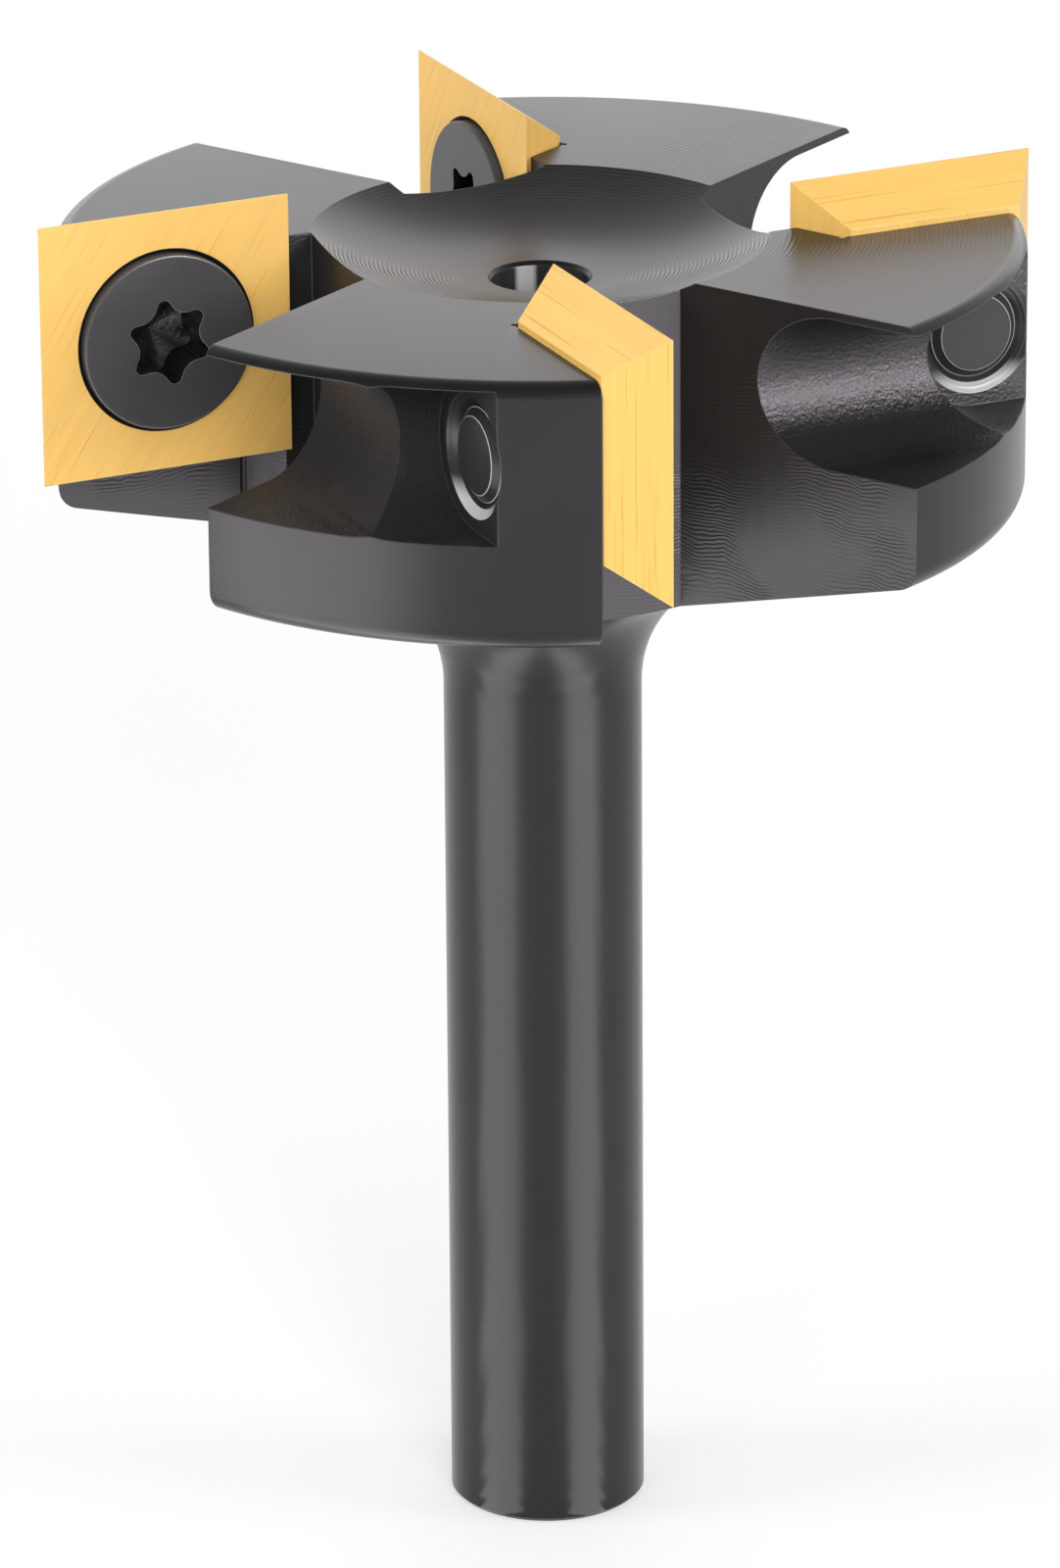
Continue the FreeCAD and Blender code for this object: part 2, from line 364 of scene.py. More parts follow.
def blackened(name, color, rough, marks=(), grain_height=0.000002, grain_scale=6000.0,
              wear_color=(0.08, 0.0785, 0.08, 1.0), wear_radius=0.00012, ior=1.4, painted_highlight=None,
              painted_ridge_highlight=0.0, rough_swing=0.05):
    """Blackened steel: a dark base with its own tool marks, grain, clouds and worn edges.

    marks is a row of (group, output, height in metres, settings). painted_highlight is
    (direction, from, to): a painted highlight of bare steel colour covers the finish past
    those distances in metres along the direction, fading in between them.
    painted_ridge_highlight is how much painted highlight of bare steel colour lies on the
    ridges of the last marks.
    rough_swing is how far the grain moves the roughness, as a share of it.
    """
    material = bpy.data.materials.new(name)
    material.use_nodes = True
    tree = material.node_tree
    shader = tree.nodes["Principled BSDF"]
    shader.inputs["IOR"].default_value = ior
    shader.inputs["Specular Tint"].default_value = (1.0, 0.94, 1.0, 1.0)
    wear = place(tree, edge_wear, Radius=wear_radius)
    texture = place(tree, grain, Fine_Scale=grain_scale)
    tone = map_range(tree, texture.outputs["Clouds"], 0.3, 0.7, 0.86, 1.14)
    speckle = map_range(tree, texture.outputs["Grain"], 0.3, 0.7, 0.93, 1.07)
    base = mix_color(tree, 1.0, color, math_node(tree, "MULTIPLY", tone, speckle), "MULTIPLY")
    # painted highlight: bare steel colour over the base where light would shine, faded in between
    # two distances along a direction
    if painted_highlight:
        where = tree.nodes.new("ShaderNodeTexCoord")
        along = add(tree, "ShaderNodeVectorMath", operation="DOT_PRODUCT", i1=painted_highlight[0])
        tree.links.new(where.outputs["Object"], along.inputs[0])
        highlight_mask = map_range(tree, along.outputs["Value"], painted_highlight[1], painted_highlight[2], 0.0, 1.0, smooth=True)
        base = mix_color(tree, highlight_mask, base, BARE_STEEL_AND_HIGHLIGHT)
    base = mix_color(tree, wear.outputs["Wear"], base, wear_color)
    tree.links.new(base, shader.inputs["Base Color"])
    rough_value = map_range(tree, texture.outputs["Grain"], 0.3, 0.7,
                            rough * (1 - rough_swing), rough * (1 + rough_swing))
    tree.links.new(rough_value, shader.inputs["Roughness"])
    height = math_node(tree, "MULTIPLY", texture.outputs["Grain"], grain_height)
    for group, output, mark_height, settings in marks:
        mark = place(tree, group, **settings).outputs[output]
        height = math_node(tree, "ADD", height, math_node(tree, "MULTIPLY", mark, mark_height))
    # painted highlight: bare steel colour on the ridges of the last marks, where light catches them
    if painted_ridge_highlight:
        ridge = math_node(tree, "MULTIPLY", mark, painted_ridge_highlight, True)
        tree.links.new(mix_color(tree, ridge, base, BARE_STEEL_AND_HIGHLIGHT), shader.inputs["Base Color"])
    bump = add(tree, "ShaderNodeBump", Strength=1.0, Distance=1.0)
    tree.links.new(height, bump.inputs["Height"])
    tree.links.new(wear.outputs["Soft Normal"], bump.inputs["Normal"])
    tree.links.new(bump.outputs[0], shader.inputs["Normal"])
    return material


DARK = (0.012, 0.0115, 0.0122, 1.0)
# bare steel colour: the worn edge finish, and the colour of the painted highlights
BARE_STEEL_AND_HIGHLIGHT = (0.55, 0.54, 0.55, 1.0)
SCUFFED = (0.4, 0.39, 0.4, 1.0)
UPRIGHT = (0.0, math.radians(90.0), 0.0)
print("blackened() is ready")

# %% Finishes of the body
# the level direction in which the camera looks, and the one back to the camera
INTO_ROOM = (0.4176, 0.9086, 0.0)
TO_CAMERA = (-0.4176, -0.9086, 0.0)

turned_black = blackened("turned black steel", DARK, 0.28, [
    (ground_lines, "Streaks", 0.00002, {"Turn": UPRIGHT, "Fineness": 1400.0, "Length": 0.05})],
    grain_height=0.0000008, rough_swing=0.01)
# the top face and the dish carry a painted highlight of bare steel colour on the ridges of their
# rings: on the top face toward +X, and on the dish in a band at the sides turned part way toward
# the camera
faced_black = blackened("faced black steel", DARK, 0.34, [
    (turned_marks, "Rings", 0.000006, {"Pitch": 0.0003, "Elsewhere": 0.02})],
    wear_radius=0.00006, painted_ridge_highlight=0.025, rough_swing=0.02)
dished_black = blackened("dished black steel", DARK, 0.30, [
    (turned_marks, "Rings", 0.000016, {"Pitch": 0.00028, "Fade_From": 0.004, "Fade_To": 0.008,
                                       "Side": TO_CAMERA, "Lean": 0.38,
                                       "Elsewhere": 0.06})],
    wear_radius=0.00006, painted_ridge_highlight=0.42, rough_swing=0.02)
shank_black = blackened("ground black shank", DARK, 0.25, [
    (ground_lines, "Streaks", 0.00001, {"Turn": UPRIGHT, "Fineness": 2600.0, "Length": 0.03})],
    grain_height=0.0000008, rough_swing=0.01)
milled_black = blackened("milled black steel", (0.018, 0.0173, 0.0183, 1.0), 0.34, [
    (mill_marks, "Ripples", 0.000007, {"Pitch": 0.00027}),
    (ground_lines, "Streaks", 0.000012, {"Turn": UPRIGHT, "Fineness": 5000.0, "Length": 0.03})],
    grain_height=0.000004)
channel_black = blackened("milled black channel", (0.018, 0.0176, 0.0186, 1.0), 0.22,
                          grain_height=0.00008, grain_scale=4000.0, ior=1.37, rough_swing=0.09)
# wing 4's channel and spot face: a copy of the channel finish with a lighter, bluer colour, painted
# to offset the brown reflection of a gold insert there
channel_reflection_offset = blackened("channel with painted reflection offset", (0.024, 0.0245, 0.0267, 1.0), 0.3,
                         grain_height=0.00007, grain_scale=3800.0, ior=1.17)
# the centre hole's bore carries a painted highlight: a thin stripe of bare steel colour down its
# far wall, a little left of the middle as the camera sees it
bored_black = blackened("bored hole", (0.03, 0.0293, 0.03, 1.0), 0.35, grain_height=0.000003,
                        painted_highlight=((0.126, 0.992, 0.0), 0.00294, 0.00303))
# the exit countersink carries a painted highlight: bare steel colour over its lowest part, fading
# in below a set height
countersunk_black = blackened("countersunk edge", (0.02, 0.0195, 0.02, 1.0), 0.3,
                              grain_height=0.000003, wear_color=SCUFFED,
                              painted_highlight=((0.0, 0.0, -1.0), -0.0790, -0.0776))
worn_edge = blackened("worn edge", BARE_STEEL_AND_HIGHLIGHT, 0.35)
print("finishes:", [m.name for m in bpy.data.materials])

# %% [markdown]
# ## The body
# The real body is turned first and then milled, so it is made here the same way: a profile
# is spun about the axis, and cutters shaped like the milled spaces are taken away from it.

# %% Lathe


def arc_points(centre, radius, start, end, steps):
    """Points (r, z) on an arc, from start to end in degrees."""
    angles = np.radians(np.linspace(start, end, steps + 1))
    return [(centre[0] + radius * math.cos(t), centre[1] + radius * math.sin(t)) for t in angles]


def mesh_from(name, points, faces, finishes=(), indices=None):
    mesh = bpy.data.meshes.new(name)
    mesh.from_pydata(points, [], faces)
    for finish in finishes:
        mesh.materials.append(finish)
    if indices is not None:
        mesh.polygons.foreach_set("material_index", indices)
    mesh.validate()
    return mesh


def lathe(name, profile, finishes, segments):
    """Spin a closed profile of (r, z, finish number) about Z. Points on the axis become poles."""
    points, rings = [], []
    for r, z, _ in profile:
        if r < 1e-9:
            rings.append([len(points)])
            points.append((0.0, 0.0, z))
        else:
            rings.append([len(points) + i for i in range(segments)])
            points += [(r * math.cos(2 * math.pi * i / segments),
                        r * math.sin(2 * math.pi * i / segments), z) for i in range(segments)]
    faces, indices = [], []
    for (low, high, row) in zip(rings, rings[1:], profile[1:]):
        for i in range(segments):
            j = (i + 1) % segments
            if len(low) == 1:
                faces.append((low[0], high[j], high[i]))
            elif len(high) == 1:
                faces.append((low[i], low[j], high[0]))
            else:
                faces.append((low[i], low[j], high[j], high[i]))
            indices.append(row[2])
    return mesh_from(name, points, faces, finishes, indices)


print("lathe is ready")

# %% [markdown]
# The body's profile. Two things differ from the CAD source: the head's edges are fillets
# here, and the dish is an arc that starts level at the hole.

# %% Turned profile


def turned_profile():
    """The body's profile from the free end of the shank up and in to the drill point."""
    tan = math.tan(UNDERSIDE)
    at_axis = RIM_FOOT - tan * HEAD_R
    flare_at = SHANK_R + FLARE_R
    flare = (flare_at, at_axis + tan * flare_at - FLARE_R / math.cos(UNDERSIDE))
    foot_at = HEAD_R - FOOT_FILLET
    foot = (foot_at, at_axis + tan * foot_at + FOOT_FILLET / math.cos(UNDERSIDE))
    top = (HEAD_R - TOP_FILLET, HEAD_TOP - TOP_FILLET)
    mouth = HOLE_R + HOLE_MOUTH
    run_in = DISH_R - mouth
    dish_arc = (run_in ** 2 + DISH_DEPTH ** 2) / (2 * DISH_DEPTH)
    dish = (mouth, HEAD_TOP - DISH_DEPTH + dish_arc)
    rim_angle = math.degrees(math.asin(run_in / dish_arc)) - 90.0
    point_z = HOLE_FLOOR - HOLE_R / math.tan(HALF_DRILL_POINT)

    # each row ends a band of faces and gives its finish: 0 turned, 1 faced top, 2 dish,
    # 3 shank, 4 bored hole. The shank's finish runs up the first 8 bands of the flare.
    rows = [(0.0, 0.0, 0), (SHANK_R - SHANK_END_CHAMFER, 0.0, 0), (SHANK_R, SHANK_END_CHAMFER, 3)]
    rows += [(SHANK_R, z, 3) for z in np.linspace(8.0, flare[1] - 3.0, 8)]
    rows += [(r, z, 3 if i < 8 else 0)
             for i, (r, z) in enumerate(arc_points(flare, FLARE_R, 180.0, 105.0, 30))]
    rows += [(r, z, 0) for r, z in arc_points(foot, FOOT_FILLET, -75.0, 0.0, 10)]
    rows += [(r, z, 0) for r, z in arc_points(top, TOP_FILLET, 0.0, 90.0, 10)]
    dish_points = arc_points(dish, dish_arc, rim_angle, -90.0, 28)
    rows += [(*dish_points[0], 1)]
    rows += [(r, z, 2) for r, z in dish_points[1:]]
    rows += [(HOLE_R, HEAD_TOP - DISH_DEPTH - HOLE_MOUTH, 0), (HOLE_R, HOLE_FLOOR, 4),
             (0.0, point_z, 4)]
    return rows


print("profile points:", len(turned_profile()))

# %% [markdown]
# Each milled space is drawn once for the wing at +X, as a solid that is a little larger than
# the metal it removes. Then it is repeated on the four wings.

# %% Cutters


def prism(name, plan, low, high, finish):
    """A closed block: a plan of (u, n) points, raised from low to high."""
    count = len(plan)
    points = [(u, n, low) for u, n in plan] + [(u, n, high) for u, n in plan]
    faces = [tuple(reversed(range(count))), tuple(range(count, 2 * count))]
    faces += [(i, (i + 1) % count, (i + 1) % count + count, i + count) for i in range(count)]
    return mesh_from(name, points, faces, [finish])


def spun(name, profile, segments, to_frame, finish):
    """A closed solid of revolution, drawn about Z and then placed by a matrix."""
    mesh = lathe(name, [(r, z, 0) for r, z in profile], [finish], segments)
    mesh.transform(to_frame)
    return mesh


def cylinder(name, radius, low, high, segments, to_frame, finish):
    """A closed cylinder, drawn about Z and then placed by a matrix."""
    return spun(name, [(0, low), (radius, low), (radius, high), (0, high)], segments, to_frame,
                finish)


def in_object(mesh, name=None):
    obj = bpy.data.objects.new(name or mesh.name, mesh)
    bpy.context.scene.collection.objects.link(obj)
    return obj


def four_times(mesh, last_finish=None):
    """One object that holds the mesh on each of the four wings. last_finish is for wing 4."""
    whole = bmesh.new()
    for index in range(WINGS):
        part = mesh.copy()
        part.transform(Matrix.Rotation(2 * math.pi * index / WINGS, 4, "Z"))
        if last_finish and index == WINGS - 1:
            part.polygons.foreach_set("material_index", [1] * len(part.polygons))
        whole.from_mesh(part)
        bpy.data.meshes.remove(part)
    joined = bpy.data.meshes.new(mesh.name + " x4")
    whole.to_mesh(joined)
    whole.free()
    for finish in mesh.materials:
        joined.materials.append(finish)
    if last_finish:
        joined.materials.append(last_finish)
    return in_object(joined)


def take_away(target, cutter, operation="DIFFERENCE"):
    """An exact boolean, applied, with the cutter removed afterwards."""
    modifier = target.modifiers.new("cut", "BOOLEAN")
    modifier.operation = operation
    modifier.solver = "EXACT"
    modifier.object = cutter
    modifier.material_mode = "TRANSFER"
    bpy.context.view_layer.update()
    evaluated = target.evaluated_get(bpy.context.evaluated_depsgraph_get())
    made = bpy.data.meshes.new_from_object(evaluated)
    target.modifiers.clear()
    target.data = made
    bpy.data.objects.remove(cutter)
    return target


def faces_outward(mesh):
    """Turn every face of a closed mesh to look outward."""
    work = bmesh.new()
    work.from_mesh(mesh)
    bmesh.ops.recalc_face_normals(work, faces=work.faces)
    work.to_mesh(mesh)
    work.free()


def in_metres(mesh, sharp_degrees):
    """Scale a finished mesh to metres, and shade it smooth up to an angle."""
    mesh.transform(Matrix.Scale(MM, 4))
    mesh.shade_smooth()
    mesh.set_sharp_from_angle(angle=math.radians(sharp_degrees))


along_u = Matrix.Rotation(math.pi / 2, 4, "Y")
along_minus_n = Matrix.Rotation(math.pi / 2, 4, "X")


def back_wall_n(u):
    return (u * math.sin(BACK_WALL) - BACK_OFFSET) / math.cos(BACK_WALL)


step_top_u = INNER_U + STEP_BELOW * INSERT_RELIEF - STEP_GAP_TOP
step_foot_u = INNER_U + INSERT_THICK * INSERT_RELIEF - STEP_GAP_FOOT
gullet_plan = [(CORE_U, STEP_N), (step_top_u, STEP_N), (step_foot_u, SEAT_N), (PAST, SEAT_N),
               (PAST, back_wall_n(PAST)), (CORE_U, back_wall_n(CORE_U))]
gullet = in_object(prism("gullet", gullet_plan, BELOW, ABOVE, milled_black))
groove = in_object(cylinder("groove", GROOVE_R, BELOW - 1, ABOVE + 1, 24,
                            Matrix.Translation((step_foot_u, SEAT_N, 0)), milled_black))
take_away(gullet, groove, "UNION")

channel = in_object(cylinder("channel", CHANNEL_R, 0, PAST, 128,
                             Matrix.Translation((0, CHANNEL_N, CHANNEL_Z)) @ along_u,
                             channel_black))
open_side = in_object(prism("open side", [(0, CHANNEL_N - PAST), (PAST, CHANNEL_N - PAST),
                                          (PAST, CHANNEL_N), (0, CHANNEL_N)],
                            CHANNEL_Z - CHANNEL_R, CHANNEL_Z + CHANNEL_R, channel_black))
take_away(channel, open_side, "UNION")

spot = in_object(cylinder("spot", CHANNEL_R, 0, PAST, 128,
                          Matrix.Translation((INSERT_U, SPOT_N, CHANNEL_Z)) @ along_minus_n,
                          channel_black))
spot_run = in_object(prism("spot run", [(INSERT_U, SPOT_N - PAST), (PAST + 5, SPOT_N - PAST),
                                        (PAST + 5, SPOT_N), (INSERT_U, SPOT_N)],
                           CHANNEL_Z - CHANNEL_R, CHANNEL_Z + CHANNEL_R, channel_black))
take_away(spot, spot_run, "UNION")

# the countersink at the exit is made of narrow cones, as a hand tool leaves it: each row is
# the radius, the depth below the wall's back and the finish (0 the bore, 1 the countersink)
wall = SEAT_N - SPOT_N
exit_steps = ((THREAD_R, 0.62, 0), (3.12, 0.56, 0), (3.30, 0.40, 0), (3.36, 0.38, 1),
              (3.55, 0.22, 1), (3.60, 0.21, 1))
exit_r = THREAD_R + EXIT_CHAMFER
hole_rows = [(0.0, -1.0, 0), (THREAD_R, -1.0, 0)]
hole_rows += [(r, wall - depth, finish) for r, depth, finish in exit_steps]
hole_rows += [(exit_r, wall, 1), (exit_r, wall + 0.5, 1), (0.0, wall + 0.5, 1)]
hole_mesh = lathe("hole", hole_rows, [turned_black, countersunk_black], 96)
hole_mesh.transform(Matrix.Translation((INSERT_U, SEAT_N, INSERT_Z)) @ along_minus_n)
hole = in_object(hole_mesh)
print("cutters:", [c.name for c in (gullet, channel, spot, hole)])

# %% Cut the body
blank = lathe("machined_body", turned_profile(),
              [turned_black, faced_black, dished_black, shank_black, bored_black], 288)
machined_body = in_object(blank, "machined_body")
for cutter in (gullet, channel, spot, hole):
    print("cutting", cutter.name, len(machined_body.data.polygons))
    # wing 4's channel and spot face get the copy whose colour is a painted reflection offset
    four = four_times(cutter.data, channel_reflection_offset if cutter in (channel, spot) else None)
    bpy.data.objects.remove(cutter)
    take_away(machined_body, four)

in_metres(machined_body.data, 24.0)
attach(machined_body, "root")
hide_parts("cutter_body")
print("body faces:", len(machined_body.data.polygons))
print("body finishes:", [m.name for m in machined_body.data.materials])

# %% [markdown]
# ## Inserts
# Each insert is a ground square of coated carbide. The front is the largest face, and the
# four sides slope back under it. The coating is a golden nitride that shows the grinding.

# %% Gold finishes


def coated(name, color, rough, turn, fineness, line_height):
    """A gold coating with darker scratches that run the way turn says."""
    material = bpy.data.materials.new(name)
    material.use_nodes = True
    tree = material.node_tree
    shader = tree.nodes["Principled BSDF"]
    shader.inputs["Metallic"].default_value = 0.04
    shader.inputs["IOR"].default_value = 1.3
    wear = place(tree, edge_wear, Radius=0.00007)
    marks = place(tree, ground_lines, Turn=turn, Fineness=fineness, Length=0.012)
    dark = tuple(0.96 * c for c in color[:3]) + (1.0,)
    scratch = (0.76 * color[0], 0.66 * color[1], 0.50 * color[2], 1.0)
    tone = map_range(tree, marks.outputs["Streaks"], 0.36, 0.62, 0.0, 1.0)
    base = mix_color(tree, tone, dark, color)
    cut = map_range(tree, marks.outputs["Lines"], 0.60, 0.66, 0.0, 0.85)
    base = mix_color(tree, cut, base, scratch)
    base = mix_color(tree, wear.outputs["Wear"], base, (1.0, 0.78, 0.42, 1.0))
    tree.links.new(base, shader.inputs["Base Color"])
    rough_value = map_range(tree, marks.outputs["Lines"], 0.3, 0.7, rough * 0.85, rough * 1.15)
    tree.links.new(rough_value, shader.inputs["Roughness"])
    bump = add(tree, "ShaderNodeBump", Strength=1.0, Distance=1.0)
    height = math_node(tree, "MULTIPLY", marks.outputs["Lines"], line_height)
    tree.links.new(height, bump.inputs["Height"])
    tree.links.new(wear.outputs["Soft Normal"], bump.inputs["Normal"])
    tree.links.new(bump.outputs[0], shader.inputs["Normal"])
    return material


GOLD = (0.95, 0.58, 0.155, 1.0)
gold_face = coated("gold face", GOLD, 0.42, (0.0, math.radians(57.0), 0.0), 6500.0, 0.000002)
gold_side_u = coated("gold side along u", GOLD, 0.40, (0.0, 0.0, 0.0), 5000.0, 0.000003)
gold_side_z = coated("gold side along z", GOLD, 0.40, UPRIGHT, 5000.0, 0.000003)
# the seat hole in the insert is near black: painted shade for the gap round the screw head
seat_painted_shade = blackened("insert seat", DARK, 0.4)
print("insert finishes:", [m.name for m in (gold_face, gold_side_u, gold_side_z, seat_painted_shade)])

# %% Insert shape


def insert_mesh():
    half = INSERT_SIDE / 2
    foot = half - INSERT_THICK * INSERT_RELIEF
    corners = ((-1, -1), (1, -1), (1, 1), (-1, 1))
    points = [(INSERT_U + a * half, FACE_N, INSERT_Z + b * half) for a, b in corners]
    points += [(INSERT_U + a * foot, SEAT_N, INSERT_Z + b * foot) for a, b in corners]
    faces = [(0, 1, 2, 3), (7, 6, 5, 4)]
    faces += [(i, i + 4, (i + 1) % 4 + 4, (i + 1) % 4) for i in range(4)]
    return mesh_from("gold_insert", points, faces, [gold_face, gold_side_u, gold_side_z],
                     [0, 0, 1, 2, 1, 2])


block = in_object(insert_mesh())
faces_outward(block.data)
# the mouth of the hole has a narrow broken edge
broken = 0.06
seat_profile = [(0, -1), (MOUTH_R + broken, -1), (MOUTH_R + broken, 0.0), (MOUTH_R, broken),
                (BORE_R, MOUTH_R - BORE_R), (BORE_R, INSERT_THICK + 1), (0, INSERT_THICK + 1)]
seat_hole = in_object(spun("seat hole", seat_profile, 128,
                           Matrix.Translation((INSERT_U, FACE_N, INSERT_Z)) @ along_minus_n,
                           seat_painted_shade))
take_away(block, seat_hole)
in_metres(block.data, 24.0)
gold_insert_data = block.data
bpy.data.objects.remove(block)
for index in range(WINGS):
    piece = in_object(gold_insert_data, "gold_insert_%d" % (index + 1))
    piece.rotation_euler = (0.0, 0.0, 2 * math.pi * index / WINGS)
    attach(piece, "root")
    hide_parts("insert_%d" % (index + 1))
print("insert faces:", len(gold_insert_data.polygons))

# %% [markdown]
# ## Screws
# A black countersunk screw with a six-lobe recess. Its outline is made of arcs: six small
# round lobes, and six wide hollows between them that the arcs of the lobes flow into.

# %% Screw finishes
screw_black = blackened("black screw", (0.058, 0.0565, 0.0593, 1.0), 0.32, grain_height=0.0000015,
                        wear_color=SCUFFED, wear_radius=0.00009)
screw_end_black = blackened("black screw end", (0.032, 0.031, 0.0325, 1.0), 0.3,
                            grain_height=0.000002, ior=1.25)
# the recess is near black, far darker than the head around it: painted shade; its glints come from
# bumps and a high IOR
recess_painted_shade = blackened("screw recess", DARK, 0.16, grain_height=0.00006, grain_scale=2600.0,
                         wear_radius=0.00005, ior=1.7)
print("screw finishes:", [m.name for m in (screw_black, screw_end_black, recess_painted_shade)])

# %% Screw shape


def six_lobe_outline(turn_degrees, steps):
    """Points round the recess. Half a lobe and half a hollow are drawn, and then mirrored."""
    lobe_r, waist_r = 0.451, 1.194
    lobe_reach, waist_reach = 2.8, 2.05
    lobe_at, waist_at = lobe_reach - lobe_r, waist_reach + waist_r
    half_step = math.radians(30.0)
    waist = (waist_at * math.cos(half_step), waist_at * math.sin(half_step))
    # the two arcs meet on the line between their centres
    toward = math.atan2(waist[1], waist[0] - lobe_at)
    half = [(lobe_at + lobe_r * math.cos(t), lobe_r * math.sin(t))
            for t in np.linspace(0.0, toward, steps)]
    back = math.atan2(-waist[1], lobe_at - waist[0])
    back = back if back > 0 else back + 2 * math.pi
    mid = half_step + math.pi
    half += [(waist[0] + waist_r * math.cos(t), waist[1] + waist_r * math.sin(t))
             for t in np.linspace(back, mid, steps)]
    polar = [(math.hypot(x, y), math.atan2(y, x)) for x, y in half]
    full = []
    for lobe in range(6):
        base = math.radians(60.0 * lobe + turn_degrees)
        full += [(r, base + t) for r, t in polar[:-1]]
        full += [(r, base + math.radians(60.0) - t) for r, t in reversed(polar[1:])]
    return [(r * math.cos(t), r * math.sin(t)) for r, t in full]


def screw_object(turn_degrees):
    """One screw in millimetres, in the place of the wing at +X."""
    # the head is a little smaller than in the CAD, so that a dark line shows round it, and
    # its cone is just clear of the insert's own
    head_r = SCREW_HEAD_R - 0.1
    land = FACE_N - (MOUTH_R - head_r) - 0.01
    shaft_n = land - (head_r - SHAFT_R)
    end_n = SPOT_N + SCREW_END_INSET
    # the head's rounded edge: how far in from its radius and how far below its top
    head_edge = ((0.16, 0.0), (0.12, 0.0), (0.04, 0.04), (0.0, 0.12))
    # the shaft's end: how far in from its radius, how far above the end, and the finish
    # (0 head, 1 shaft and end, 2 worn edge)
    end_edge = ((0.0, 0.46, 1), (0.07, 0.42, 2), (0.52, 0.03, 1), (0.57, 0.0, 2))
    profile = [(0.0, SCREW_TOP, 0)]
    profile += [(head_r - inward, SCREW_TOP - below, 0) for inward, below in head_edge]
    profile += [(head_r, land, 0), (SHAFT_R, shaft_n, 0)]
    profile += [(SHAFT_R - inward, end_n + above, finish) for inward, above, finish in end_edge]
    profile += [(0.0, end_n, 1)]
    mesh = lathe("six_lobe_screw", [(r, SCREW_TOP - n, finish) for r, n, finish in profile],
                 [screw_black, screw_end_black, worn_edge], 128)
    mesh.transform(Matrix.Translation((INSERT_U, SCREW_TOP, INSERT_Z)) @ along_minus_n)
    screw = in_object(mesh)
    outline = six_lobe_outline(turn_degrees, 8)
    count = len(outline)
    floor_n = SCREW_TOP - RECESS_DEPTH
    draft, over = 0.985, 0.5
    points = [(INSERT_U + x, SCREW_TOP + over, INSERT_Z + y) for x, y in outline]
    points += [(INSERT_U + x * draft, floor_n, INSERT_Z + y * draft) for x, y in outline]
    points += [(INSERT_U, floor_n - RECESS_CONE, INSERT_Z)]
    faces = [tuple(range(count))]
    faces += [(i + count, (i + 1) % count + count, (i + 1) % count, i) for i in range(count)]
    faces += [(2 * count, (i + 1) % count + count, i + count) for i in range(count)]
    recess = in_object(mesh_from("recess", points, faces, [recess_painted_shade]))
    for obj in (screw, recess):
        faces_outward(obj.data)
    return take_away(screw, recess)


def screw_mesh(turn_degrees):
    screw = screw_object(turn_degrees)
    in_metres(screw.data, 28.0)
    mesh = screw.data
    bpy.data.objects.remove(screw)
    return mesh


# the screws were tightened to two different turns
common_turn, other_turn = screw_mesh(22.0), screw_mesh(52.0)
for index in range(WINGS):
    piece = in_object(other_turn if index == 1 else common_turn, "six_lobe_screw_%d" % (index + 1))
    piece.rotation_euler = (0.0, 0.0, 2 * math.pi * index / WINGS)
    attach(piece, "root")
    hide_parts("insert_screw_%d" % (index + 1))
print("screw faces:", len(common_turn.polygons))

# %% [markdown]
# ## Studio
# A white floor and a white world, with soft lamps. The floor glows for the camera and for
# reflections only, so it looks white and still takes the bit's shadow.

# %% Floor


def seen_directly(tree):
    """1 for camera, glossy and transmission rays."""
    path = tree.nodes.new("ShaderNodeLightPath")
    seen = path.outputs["Is Camera Ray"]
    for kind in ("Is Glossy Ray", "Is Transmission Ray"):
        seen = math_node(tree, "MAXIMUM", seen, path.outputs[kind])
    return seen


floor_size = 6.0
floor = in_object(mesh_from("floor", [(-floor_size, -floor_size, 0), (floor_size, -floor_size, 0),
                                      (floor_size, floor_size, 0), (-floor_size, floor_size, 0)],
                            [(0, 1, 2, 3)]))
paper = bpy.data.materials.new("pale floor")
paper.use_nodes = True
tree = paper.node_tree
tree.nodes.remove(tree.nodes["Principled BSDF"])
diffuse = add(tree, "ShaderNodeBsdfDiffuse", Color=(0.55, 0.55, 0.55, 1.0))
glow = add(tree, "ShaderNodeEmission", Color=(1.0, 1.0, 1.0, 1.0))
floor_glow = 0.45
tree.links.new(math_node(tree, "MULTIPLY", seen_directly(tree), floor_glow),
               glow.inputs["Strength"])
both = tree.nodes.new("ShaderNodeAddShader")
tree.links.new(diffuse.outputs[0], both.inputs[0])
tree.links.new(glow.outputs[0], both.inputs[1])
tree.links.new(both.outputs[0], tree.nodes["Material Output"].inputs["Surface"])
floor.data.materials.append(paper)
print("floor:", floor_size * 2, "m across")

# %% [markdown]
# The world is plain white to the camera. Reflections see a room that is bright at the back,
# dark on the camera's side and dimmer straight above, as the tones of the steel ask for. Its
# diffuse light comes mostly from above.

